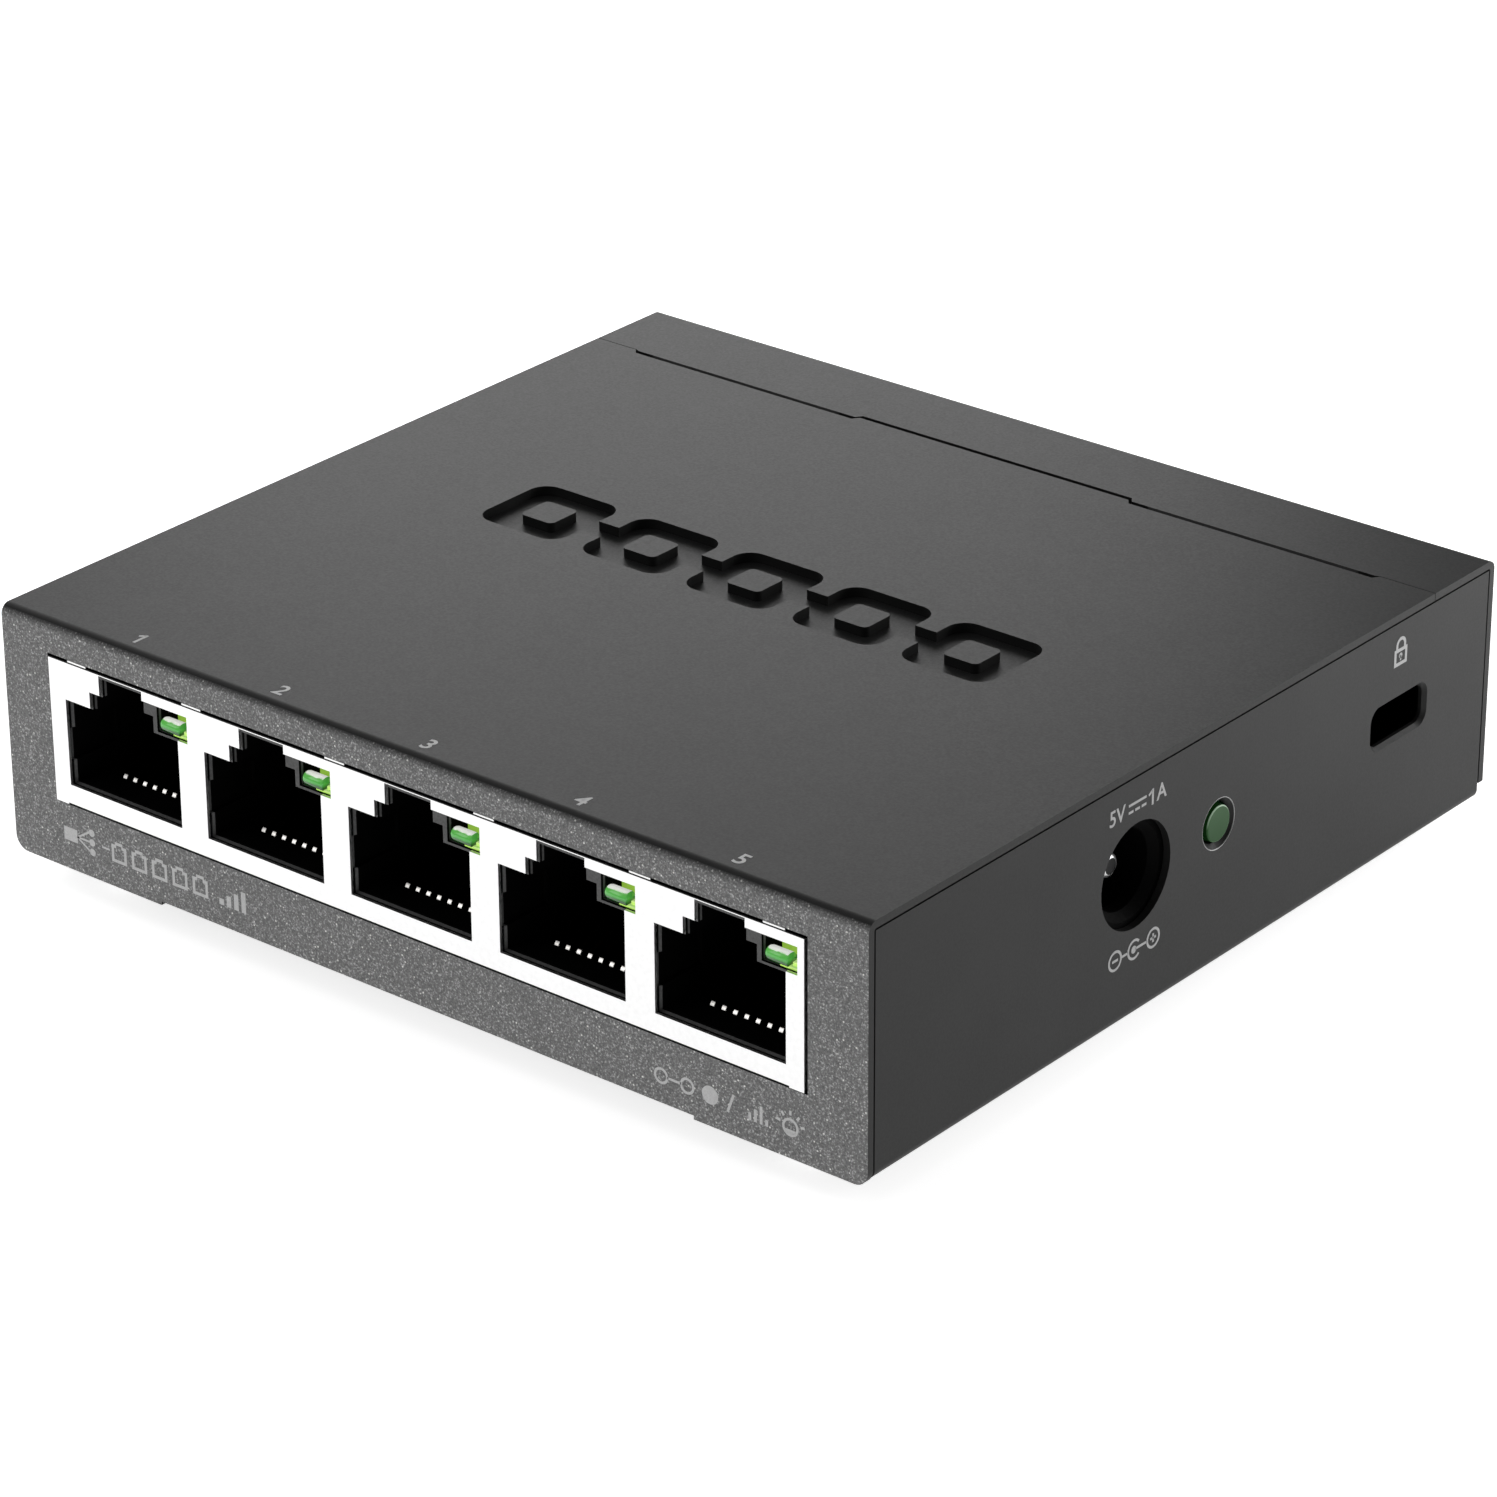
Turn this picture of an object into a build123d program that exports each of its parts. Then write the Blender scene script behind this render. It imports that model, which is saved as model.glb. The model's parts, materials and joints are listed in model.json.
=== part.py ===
from build123d import *
import os
from math import cos, radians, sin

# Desktop network switch: folded steel case, one ganged row of five sockets in the front,
# power inlet, power lamp and lock slot in the right side.
#
# Lengths are millimetres. Every shape is drawn in case coordinates: x from the left edge,
# y back from the front face, z up from the lowest metal edge. write_node() moves it to the
# part's own frame: origin in the middle of the footprint, at the underside of the feet.

# ---- case -----------------------------------------------------------------------------
WIDTH = 82.0
DEPTH = 76.2
HEIGHT = 20.2
SHEET = 0.6  # steel thickness
SEAM = 0.15  # gap between folded sheets
BEND_R = 0.8  # outside radius of a fold
BASE_Z = 0.3  # underside of the base above the cover's lowest edge
FOOT_H = 2.0  # feet below the lowest metal edge
FOOT_R = 4.0
FOOT_SPOTS = [(x, y) for x in (10.0, WIDTH - 10.0) for y in (17.0, 66.0)]

# lap joint of the two sheets across the top: y of the cover's edge and of the base's edge
LAP_ENDS = (68.03, 68.10)
LAP_OUTER = (67.49, 67.93)
LAP_MIDDLE = (68.04, 68.48)
LAP_STEPS = (4.1, 27.1, 54.3, 77.1)  # x where the joint steps
TONGUE = 5.6  # how far a tongue reaches under the other sheet
TONGUE_GAP = 0.05

# front plate
TAB_W = 15.3  # width of the two lower tabs
TAB_CORNER_R = 1.2
WINDOW_X = (4.68, 76.81)
WINDOW_Z = (5.46, 17.60)
FLANGE_Y = 9.0  # the tabs' flanges reach this far under the base
COVER_SCREW_SPOTS = [(8.0, 5.2), (WIDTH - 8.0, 5.2)]

# mark on the top sheet: five linked squares, pressed in
MARK_DEPTH = 0.8
MARK_Y = 38.3
MARK_SIDE = 8.2
MARK_PITCH = 10.2
MARK_ISLAND = 3.2
MARK_LINK = 2.2
MARK_R = 1.6

# right side
INLET_Y, INLET_Z, INLET_HOLE_R = 30.45, 11.69, 4.15
LAMP_Y, LAMP_Z, LAMP_HOLE_R, LAMP_DISH_R = 40.55, 11.80, 1.62, 2.05
SLOT_Y, SLOT_Z = (60.3, 67.3), (10.05, 13.15)
SLOT_R, SLOT_BEVEL = 0.9, 0.3

# bottom
KEYHOLE_X = (16.0, 66.0)
KEYHOLE_Y, KEYHOLE_HEAD_R, KEYHOLE_NECK_R, KEYHOLE_RUN = 38.0, 3.6, 1.9, 6.0
RELIEF = 1.2  # corner relief where the back is folded up

# ---- board ----------------------------------------------------------------------------
BOARD_TOP = 5.5
BOARD_T = 1.6
BOARD_X = (1.4, 80.6)
BOARD_Y = (1.0, 69.0)
SCREW_R = 1.5
SCREW_GAP = 0.02
BOARD_SCREW_SPOTS = [(x, y) for x in (4.1, WIDTH - 4.1) for y in (20.6, 63.0)]
LEAD_END = 3.4  # z where the soldered pins end, below the board

# ---- socket row -----------------------------------------------------------------------
PORTS = 5
PORT_X0 = 6.33  # left edge of the first mouth
PORT_PITCH = 14.25
MOUTH_W = 11.59
MOUTH_Z = (7.2, 14.25)
ROW_X = (4.72, 76.50)
ROW_Z = (5.50, 17.40)
ROW_DEPTH = 15.6
SHIELD_T = 0.25
CONTACTS = 8
CONTACT_PITCH = 1.016
CONTACT_MID = MOUTH_W / 2
WIRE = 0.35
WIRE_BEND = (4.0, 6.90)  # y, z of the front bend of the contact wires
WIRE_BEND_R = 0.425
WIRE_SLOPE = 24.0  # degrees, free arm above the floor
WIRE_ARM = 8.4
TAIL_ROWS = (12.9, 14.1)  # y of the two rows of solder tails
FINGER_X = (7.7, 19.45, 33.65, 47.85, 62.1, 73.9)  # shield fingers that touch the front plate
FINGER_W = 1.9
SHIELD_LEG_Y = (5.0, 11.5)
PEG_SPOTS = [(19.2, 8.4), (62.0, 8.4)]  # plastic pegs of the row's body, through the board
PEG_R = 1.0
LED_LEAD_X = (10.3, 11.6)  # leads of the port lamps, from the mouth's left edge
LED_LEAD_Y = 14.9

# ---- power inlet ----------------------------------------------------------------------
INLET_BODY_X = (67.2, 81.3)
INLET_BODY_W = 9.0
INLET_BODY_TOP = 16.3
INLET_BORE_R = 3.15
INLET_BORE_END = 71.4
PIN_R = 1.0
PIN_TIP_X = WIDTH - 2.2
LEAF_PIVOT = (69.9, 7.75)  # x, z
LEAF_T = 0.25


def write_node(name, shape):
    """Writes one node, moved from case coordinates to the part's frame."""
    moved = Pos(-WIDTH / 2, -DEPTH / 2, FOOT_H) * shape
    export_step(moved, os.path.join("parts", name + ".step"))


def block(x, y, z):
    """A box from its three (low, high) spans."""
    size = Box(x[1] - x[0], y[1] - y[0], z[1] - z[0])
    return Pos((x[0] + x[1]) / 2, (y[0] + y[1]) / 2, (z[0] + z[1]) / 2) * size


def post(x, y, z, r):
    """An upright cylinder over the span z."""
    return Pos(x, y, (z[0] + z[1]) / 2) * Cylinder(r, z[1] - z[0])


def bar(x, y, z, r):
    """A cylinder along X over the span x."""
    return Pos((x[0] + x[1]) / 2, y, z) * Rot(0, 90, 0) * Cylinder(r, x[1] - x[0])


def cone(x, y, z, r_low, r_high):
    """A cone along X over the span x, from r_low to r_high."""
    return Pos((x[0] + x[1]) / 2, y, z) * Rot(0, 90, 0) * Cone(r_low, r_high, x[1] - x[0])


def rounded(shape, axis, spots, radius):
    """Fillets the edges along an axis whose middles lie at the given spots in the other two."""
    keep = {Axis.X: ("Y", "Z"), Axis.Y: ("X", "Z"), Axis.Z: ("X", "Y")}[axis]
    found = [
        edge
        for edge in shape.edges().filter_by(axis)
        if any(
            abs(getattr(edge.center(), keep[0]) - a) < 1e-3
            and abs(getattr(edge.center(), keep[1]) - b) < 1e-3
            for a, b in spots
        )
    ]
    return fillet(found, radius)


def plate_from(points, z):
    """A flat sheet with the outline points in plan, over the span z."""
    return extrude(Pos(0, 0, z[0]) * make_face(Polyline(*points, close=True)), z[1] - z[0])


def slab_yz(points, x):
    """A prism whose outline in Y and Z is given, over the span x."""
    outline = Plane.YZ * make_face(Polyline(*points, close=True))
    return Pos(x[0], 0, 0) * extrude(outline, x[1] - x[0])


def union(shapes):
    """Fuses a list of shapes."""
    first, *rest = shapes
    return first + rest if rest else first


# ---- case sheets ----------------------------------------------------------------------


def lap_edge(side):
    """The stepped joint across the top, left to right: side 0 is the cover, 1 the base."""
    ends, outer, middle = LAP_ENDS[side], LAP_OUTER[side], LAP_MIDDLE[side]
    a, b, c, d = LAP_STEPS
    slant = 0.4
    return [
        (0, ends),
        (a, ends),
        (a + slant, outer),
        (b, outer),
        (b + slant, middle),
        (c - slant, middle),
        (c, outer),
        (d - slant, outer),
        (d, ends),
        (WIDTH, ends),
    ]


def tongue(edge_y, direction, x):
    """A joggled tongue that dips one sheet thickness and reaches under the other sheet."""
    top, low = HEIGHT, HEIGHT - SHEET
    dip = SHEET + TONGUE_GAP
    step, lag, root = 0.33 * direction, 0.3 * direction, 0.9 * direction
    points = [
        (edge_y - root, top),
        (edge_y, top),
        (edge_y + step, top - dip),
        (edge_y + direction * TONGUE, top - dip),
        (edge_y + direction * TONGUE, low - dip),
        (edge_y + step - lag, low - dip),
        (edge_y - lag, low),
        (edge_y - root, low),
    ]
    return slab_yz(points, x)


def pressed_mark(grow, islands):
    """Plan outline of the pressed mark, grown all round by grow."""
    side = MARK_SIDE + 2 * grow
    squares = [
        Pos(WIDTH / 2 + (i - 2) * MARK_PITCH, MARK_Y) * RectangleRounded(side, side, MARK_R)
        for i in range(PORTS)
    ]
    run = MARK_PITCH * (PORTS - 1)
    face = union(squares) + Pos(WIDTH / 2, MARK_Y) * Rectangle(run, MARK_LINK + 2 * grow)
    if islands:
        for i in range(PORTS):
            spot = Pos(WIDTH / 2 + (i - 2) * MARK_PITCH, MARK_Y)
            face -= spot * RectangleRounded(MARK_ISLAND, MARK_ISLAND, 0.5)
    return face


def front_top_cover():
    """Front plate and top in one folded sheet, with the window, tabs and pressed mark."""
    top_z = (HEIGHT - SHEET, HEIGHT)
    plate = block((0, WIDTH), (0, SHEET), (0, HEIGHT))
    plate = rounded(plate, Axis.Y, [(0, 0), (WIDTH, 0)], TAB_CORNER_R)
    plate -= block((TAB_W, WIDTH - TAB_W), (-1, 1), (-1, BASE_Z))
    top = plate_from([(0, 0)] + lap_edge(0) + [(WIDTH, 0)], top_z)
    cover = plate + top
    cover = rounded(cover, Axis.X, [(0, HEIGHT)], BEND_R)
    cover = rounded(cover, Axis.X, [(SHEET, HEIGHT - SHEET)], BEND_R - SHEET)
    cover -= block(WINDOW_X, (-1, 1), WINDOW_Z)
    for x, y in COVER_SCREW_SPOTS:
        low = 1.7 if x < WIDTH / 2 else WIDTH - TAB_W + 0.3
        flange = block((low, low + TAB_W - 2.0), (0, FLANGE_Y), (0, SHEET))
        cover += flange - post(x, y, (-1, 1), SCREW_R + 0.2)
    cover += tongue(LAP_MIDDLE[0], 1, (LAP_STEPS[1] + 1.4, LAP_STEPS[2] - 1.4))
    shell = extrude(Pos(0, 0, HEIGHT - SHEET) * pressed_mark(SHEET * 0.8, False), -MARK_DEPTH)
    hollow = extrude(Pos(0, 0, HEIGHT) * pressed_mark(0, True), -MARK_DEPTH)
    return cover + shell - hollow


def lock_slot():
    """Cutter for the lock slot: a rounded slot with a bevelled mouth."""
    y_mid, z_mid = sum(SLOT_Y) / 2, sum(SLOT_Z) / 2
    wide, high = SLOT_Y[1] - SLOT_Y[0], SLOT_Z[1] - SLOT_Z[0]
    at = Plane((WIDTH, y_mid, z_mid), x_dir=(0, 1, 0), z_dir=(-1, 0, 0))
    neck = extrude(at * RectangleRounded(wide, high, SLOT_R), 2 * SHEET)
    mouth = at * RectangleRounded(wide + 2 * SLOT_BEVEL, high + 2 * SLOT_BEVEL, SLOT_R + SLOT_BEVEL)
    return neck + extrude(mouth, SLOT_BEVEL, taper=44)


def keyhole(x):
    """Cutter for one wall-mounting keyhole in the bottom."""
    z = (-1, 2)
    run_y = KEYHOLE_Y + KEYHOLE_RUN
    neck = block((x - KEYHOLE_NECK_R, x + KEYHOLE_NECK_R), (KEYHOLE_Y, run_y), z)
    return post(x, KEYHOLE_Y, z, KEYHOLE_HEAD_R) + neck + post(x, run_y, z, KEYHOLE_NECK_R)


def base_tray():
    """Bottom, sides, back and rear top strip in one folded sheet."""
    side_y = (SHEET + SEAM, DEPTH - SHEET - SEAM)
    side_top = HEIGHT - SHEET - SEAM
    floor_z = BASE_Z + SHEET
    trough = block((0, WIDTH), side_y, (BASE_Z, side_top))
    trough = rounded(trough, Axis.Y, [(0, BASE_Z), (WIDTH, BASE_Z)], BEND_R)
    hollow = block((SHEET, WIDTH - SHEET), side_y, (floor_z, side_top))
    hollow = rounded(hollow, Axis.Y, [(SHEET, floor_z), (WIDTH - SHEET, floor_z)], BEND_R - SHEET)
    trough -= hollow

    back_low = 69.5
    fold = block((0, WIDTH), (back_low, DEPTH), (BASE_Z, HEIGHT))
    fold -= block((-1, WIDTH + 1), (0, DEPTH - SHEET), (floor_z, HEIGHT - SHEET))
    fold = rounded(fold, Axis.X, [(DEPTH, BASE_Z), (DEPTH, HEIGHT)], BEND_R)
    inner = [(DEPTH - SHEET, floor_z), (DEPTH - SHEET, HEIGHT - SHEET)]
    fold = rounded(fold, Axis.X, inner, BEND_R - SHEET)
    strip = plate_from(lap_edge(1) + [(WIDTH, 70), (0, 70)], (HEIGHT - SHEET, HEIGHT))
    fold += strip
    for x in ((-1, RELIEF), (WIDTH - RELIEF, WIDTH + 1)):
        fold -= block(x, (0, DEPTH + 1), (0, floor_z + 0.7))
    for x in (
        (LAP_STEPS[0] + 1.9, LAP_STEPS[1] - 1.6),
        (LAP_STEPS[2] + 1.6, LAP_STEPS[3] - 1.9),
    ):
        fold += tongue(LAP_OUTER[1], -1, x)

    tray = trough + fold
    for x, y in COVER_SCREW_SPOTS:
        low = 1.4 if x < WIDTH / 2 else WIDTH - TAB_W
        pad_x, pad_y = (low, low + TAB_W - 1.4), (0, FLANGE_Y + 0.3)
        tray -= block(pad_x, pad_y, (-1, SHEET + TONGUE_GAP))
        pad = block(pad_x, (side_y[0], pad_y[1]), (SHEET + TONGUE_GAP, 2 * SHEET + TONGUE_GAP))
        tray += pad + post(x, y, (SHEET + TONGUE_GAP, 2.6), 2.4)
        tray -= post(x, y, (-1, 4), SCREW_R + SCREW_GAP)
    for x in KEYHOLE_X:
        tray -= keyhole(x)
    wall = (WIDTH - 2 * SHEET, WIDTH + 1)
    tray -= bar(wall, INLET_Y, INLET_Z, INLET_HOLE_R)
    tray -= bar(wall, LAMP_Y, LAMP_Z, LAMP_HOLE_R)
    dish = LAMP_DISH_R - LAMP_HOLE_R
    tray -= cone((WIDTH - dish, WIDTH), LAMP_Y, LAMP_Z, LAMP_HOLE_R, LAMP_DISH_R)
    return tray - lock_slot()


# ---- feet and fasteners ---------------------------------------------------------------


def rubber_foot(x, y):
    """A stick-on rubber foot with a rounded lower rim."""
    foot = post(x, y, (-FOOT_H, BASE_Z), FOOT_R)
    rim = foot.edges().filter_by(GeomType.CIRCLE).sort_by(Axis.Z)[0]
    return fillet(rim, 0.5)


def pan_screw(x, y, seat, reach, up):
    """A cross-recess pan-head screw: head on the seat, shank to reach; up is +1 for a head below."""
    head_h = 1.2
    head = post(x, y, sorted((seat, seat - up * head_h)), 2.7)
    crown = head.edges().filter_by(GeomType.CIRCLE).sort_by(Axis.Z)[0 if up > 0 else -1]
    head = fillet(crown, 0.5)
    for spin in (0, 90):
        cross = Pos(x, y, seat - up * head_h) * Rot(0, 0, spin) * Box(2.6, 0.5, 1.2)
        head -= cross
    return head + post(x, y, sorted((seat, reach)), SCREW_R)


def standoff(x, y):
    """A round steel standoff between the base and the board."""
    z = (BASE_Z + SHEET, BOARD_TOP - BOARD_T)
    return post(x, y, z, 2.5) - post(x, y, z, SCREW_R + SCREW_GAP)


# ---- socket row -----------------------------------------------------------------------


def port_left(i):
    """x of the left edge of mouth i."""
    return PORT_X0 + i * PORT_PITCH


def port_block(i, x, y, z):
    """A box at port i, with x counted from the mouth's left edge."""
    left = port_left(i)
    return block((left + x[0], left + x[1]), y, z)


def contact_x(i, k):
    """x of contact k of port i."""
    return port_left(i) + CONTACT_MID + (k - (CONTACTS - 1) / 2) * CONTACT_PITCH


def mouth_cutter(i):
    """The stepped opening in the shield's front: plug, latch channel and lamp window."""
    low, high = MOUTH_Z
    outline = [
        (0, low),
        (MOUTH_W, low),
        (MOUTH_W, 14.33),
        (12.59, 14.33),
        (12.59, 16.50),
        (8.04, 16.50),
        (8.04, 17.22),
        (3.62, 17.22),
        (3.62, 15.58),
        (2.57, 15.58),
        (2.57, high),
        (0, high),
    ]
    shape = Plane.XZ * make_face(Polyline(*outline, close=True))
    return Pos(port_left(i), 1, 0) * extrude(shape, 2)


def jack_shield():
    """Tinned shield can over the whole socket row."""
    t = SHIELD_T
    can = block(ROW_X, (0, ROW_DEPTH), ROW_Z)
    can -= block(
        (ROW_X[0] + t, ROW_X[1] - t), (t, ROW_DEPTH - t), (ROW_Z[0] - 1, ROW_Z[1] - t)
    )
    can -= block((6.0, 75.2), (-1, 1), (ROW_Z[0] - 1, ROW_Z[0] + 0.13))
    can -= block((ROW_X[0] - 1, ROW_X[1] + 1), (ROW_DEPTH - 2, ROW_DEPTH + 1), (5, 6.6))
    for i in range(PORTS):
        can -= mouth_cutter(i)
    for mid in FINGER_X:
        x = (mid - FINGER_W / 2, mid + FINGER_W / 2)
        points = [
            (0.0, ROW_Z[1] - t),
            (0.0, ROW_Z[1] + 0.15),
            (0.9, ROW_Z[1] + 0.15),
            (4.0, ROW_Z[1]),
            (4.0, ROW_Z[1] - t),
        ]
        can += slab_yz(points, x)
    for x in ((ROW_X[0], ROW_X[0] + t), (ROW_X[1] - t, ROW_X[1])):
        for y in SHIELD_LEG_Y:
            can += block(x, (y - 0.6, y + 0.6), (LEAD_END, ROW_Z[0] + 1))
    return can


def jack_housing():
    """Black plastic body of the socket row, with five stepped cavities."""
    gap = 0.03
    row = block(
        (ROW_X[0] + SHIELD_T + gap, ROW_X[1] - SHIELD_T - gap),
        (SHIELD_T + gap, 14.4),
        (BOARD_TOP, ROW_Z[1] - SHIELD_T - gap),
    )
    face = SHIELD_T
    for i in range(PORTS):
        row -= port_block(i, (0.10, 11.49), (0.8, 12.6), (7.30, 13.95))
        flare = Plane((port_left(i) + MOUTH_W / 2, 0.45, 10.60), x_dir=(1, 0, 0), z_dir=(0, 1, 0))
        row -= extrude(flare * Rectangle(11.69, 6.96), 0.40, taper=24)
        row -= port_block(i, (-0.05, 11.64), (face, 0.46), (7.12, 14.08))
        row -= port_block(i, (2.60, 8.87), (face, 9.0), (13.9, 15.40))
        row -= port_block(i, (3.70, 7.95), (face, 9.0), (15.3, 16.85))
        row -= port_block(i, (9.27, 12.55), (face, 15.0), (14.27, 16.42))
        row -= port_block(i, (1.40, 10.19), (3.15, 15.0), (5.0, 7.4))
        row -= port_block(i, (1.40, 10.19), (11.9, 15.0), (5.0, 12.75))
        for side in ((-0.25, 0.2), (11.39, 11.84)):
            row -= port_block(i, side, (face, 5.0), (9.10, 11.75))
    for x, y in PEG_SPOTS:
        row += post(x, y, (LEAD_END, BOARD_TOP + 0.5), PEG_R)
    return row


def contact_block(i):
    """Insert that holds a port's eight contacts: a floor slab and a slotted rear wall."""
    low = BOARD_TOP + 0.1
    run_z = WIRE_BEND[1] - WIRE_BEND_R - WIRE / 2  # underside of the lower runs
    body = port_block(i, (1.5, 10.09), (5.3, 12.1), (low, run_z - 0.05))
    body += port_block(i, (1.5, 10.09), (12.0, 14.7), (low, 12.6))
    for k in range(CONTACTS):
        x = contact_x(i, k)
        tail_y = TAIL_ROWS[k % 2]
        fit = WIRE / 2 + 0.03
        body -= block((x - 0.28, x + 0.28), (11.9, 13.4), (8.2, 12.0))
        body -= block((x - fit, x + fit), (11.9, tail_y + fit), (run_z - 0.05, run_z + 0.4))
        body -= block((x - fit, x + fit), (tail_y - fit, tail_y + fit), (5, run_z + 0.4))
    return body


def contact_tails(i):
    """The fixed halves of the contacts: floor runs and solder tails."""
    run_z = WIRE_BEND[1] - WIRE_BEND_R - WIRE / 2
    half = WIRE / 2
    tails = []
    for k in range(CONTACTS):
        x, y = contact_x(i, k), TAIL_ROWS[k % 2]
        span = (x - half, x + half)
        run = block(span, (WIRE_BEND[0] + 0.03, y + half), (run_z, run_z + WIRE))
        tails.append(run + block(span, (y - half, y + half), (LEAD_END, run_z + WIRE)))
    return Compound(children=tails)


def contact_wire():
    """Outline in Y and Z of one spring arm: the front bend and the sloping free arm."""
    y0, z0 = WIRE_BEND
    inner, outer = WIRE_BEND_R - WIRE / 2, WIRE_BEND_R + WIRE / 2
    lift = radians(WIRE_SLOPE)
    sweep = -(180 - WIRE_SLOPE)
    out_arc = CenterArc((y0, z0), outer, 270, sweep)
    in_arc = CenterArc((y0, z0), inner, 270, sweep)
    reach = Vector(WIRE_ARM * cos(lift), WIRE_ARM * sin(lift))
    out_end, in_end = out_arc @ 1 + reach, in_arc @ 1 + reach
    edges = [
        out_arc,
        Line(out_arc @ 1, out_end),
        Line(out_end, in_end),
        Line(in_end, in_arc @ 1),
        in_arc,
        Line(in_arc @ 0, out_arc @ 0),
    ]
    return extrude(Plane.YZ * make_face(edges), WIRE)


def contact_springs(i, wire):
    """The eight spring arms of a port, which a plug presses down together."""
    return Compound(
        children=[Pos(contact_x(i, k) - WIRE / 2, 0, 0) * wire for k in range(CONTACTS)]
    )


def port_led(i):
    """Rectangular lamp beside the latch channel, with a rounded front."""
    lens = port_block(i, (9.45, 12.40), (0.5, 3.9), (14.42, 15.56))
    left, right = port_left(i) + 9.45, port_left(i) + 12.40
    lens = rounded(lens, Axis.Z, [(left, 0.5)], 0.8)
    lens = rounded(lens, Axis.Z, [(right, 0.5)], 0.25)
    return lens


def led_leads():
    """Wire leads of the five port lamps, back over the housing and down to the board."""
    half = 0.2
    leads = []
    for i in range(PORTS):
        for x in LED_LEAD_X:
            run = port_block(i, (x - half, x + half), (3.9, LED_LEAD_Y + half), (14.8, 15.2))
            drop_y = (LED_LEAD_Y - half, LED_LEAD_Y + half)
            leads.append(run + port_block(i, (x - half, x + half), drop_y, (LEAD_END, 15.2)))
    return Compound(children=leads)


# ---- power inlet and lamp -------------------------------------------------------------


def inlet_body():
    """Black plastic body of the power inlet, bored along X."""
    y_span = (INLET_Y - INLET_BODY_W / 2, INLET_Y + INLET_BODY_W / 2)
    x_low, x_high = INLET_BODY_X
    body = block(INLET_BODY_X, y_span, (BOARD_TOP, INLET_BODY_TOP))
    top_edges = [(y, INLET_BODY_TOP) for y in y_span]
    body = rounded(body, Axis.X, top_edges, 1.2)
    body -= bar((INLET_BORE_END, x_high + 1), INLET_Y, INLET_Z, INLET_BORE_R)
    body -= cone((x_high - 0.6, x_high), INLET_Y, INLET_Z, INLET_BORE_R, INLET_BORE_R + 0.6)
    body -= bar((x_low - 1, INLET_BORE_END + 1), INLET_Y, INLET_Z, PIN_R + SCREW_GAP)
    body -= block((69.4, 79.6), (INLET_Y - 1.6, INLET_Y + 1.6), (6.9, 10.0))
    body -= block((69.4, 69.86), (INLET_Y - 1.3, INLET_Y + 1.3), (5, 7.5))
    return body


def inlet_pin():
    """Centre pin with its solder tab behind the body."""
    pin = bar((66.6, PIN_TIP_X), INLET_Y, INLET_Z, PIN_R)
    tip = pin.edges().filter_by(GeomType.CIRCLE).sort_by(Axis.X)[-1]
    pin = fillet(tip, 0.45)
    return pin + block((66.6, 67.0), (INLET_Y - 1.2, INLET_Y + 1.2), (LEAD_END, 12.7))


def inlet_leaf():
    """Sprung leaf that touches the outside of a plug's barrel."""
    x0, z0 = LEAF_PIVOT
    ridge = [(x0, z0), (73.0, z0 + 0.2), (75.5, 8.85), (77.5, 7.9)]
    below = [(x, z - LEAF_T) for x, z in reversed(ridge)]
    outline = Plane.XZ * make_face(Polyline(*(ridge + below), close=True))
    return Pos(0, INLET_Y + 1.1, 0) * extrude(outline, 2.2)


def inlet_leaf_terminal():
    """Upright tab that anchors the leaf and goes through the board."""
    return block((69.45, 69.85), (INLET_Y - 1.2, INLET_Y + 1.2), (LEAD_END, 8.1))


def power_led():
    """Round power lamp: a flanged lens with a softened rim, level with the side's face."""
    lens = bar((77.5, WIDTH), LAMP_Y, LAMP_Z, 1.43)
    tip = lens.edges().filter_by(GeomType.CIRCLE).sort_by(Axis.X)[-1]
    return fillet(tip, 0.15) + bar((76.95, 77.8), LAMP_Y, LAMP_Z, 1.75)


def power_led_holder():
    """Black spacer that holds the lamp level with its hole."""
    holder = block((72.8, 76.9), (LAMP_Y - 2.2, LAMP_Y + 2.2), (BOARD_TOP, 13.9))
    for y in (LAMP_Y - 1.27, LAMP_Y + 1.27):
        holder -= block((74.2, 77.5), (y - 0.3, y + 0.3), (5, 12.3))
    return holder


def power_led_leads():
    """Two bent leads from the lamp to the board."""
    leads = []
    for y in (LAMP_Y - 1.27, LAMP_Y + 1.27):
        span = (y - 0.22, y + 0.22)
        run = block((74.4, 76.93), span, (11.6, 12.04))
        leads.append(run + block((74.4, 74.84), span, (LEAD_END, 12.04)))
    return Compound(children=leads)


# ---- board and what is soldered on it -------------------------------------------------

CHIP_X, CHIP_Y, CHIP_SIDE = 34.0, 44.0, 14.0
CHIP_LEADS_PER_SIDE = 16
TRANSFORMER_Y = 20.6
SO8_SPOTS = [(51.0, 56.5), (62.0, 56.5)]  # voltage regulators
MEMORY_SPOT = (19.5, 52.0)
CRYSTAL_SPOT = (16.2, 42.5)
INDUCTORS = [(50.0, 46.5, 6.0, 3.8), (61.5, 48.3, 5.0, 3.0)]  # x, y, side, height
CANS = [(60.5, 31.5, 4.0, 11.0), (60.5, 40.5, 3.15, 7.5)]  # x, y, radius, height
DIODE_SPOT = (50.0, 31.0)


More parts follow.
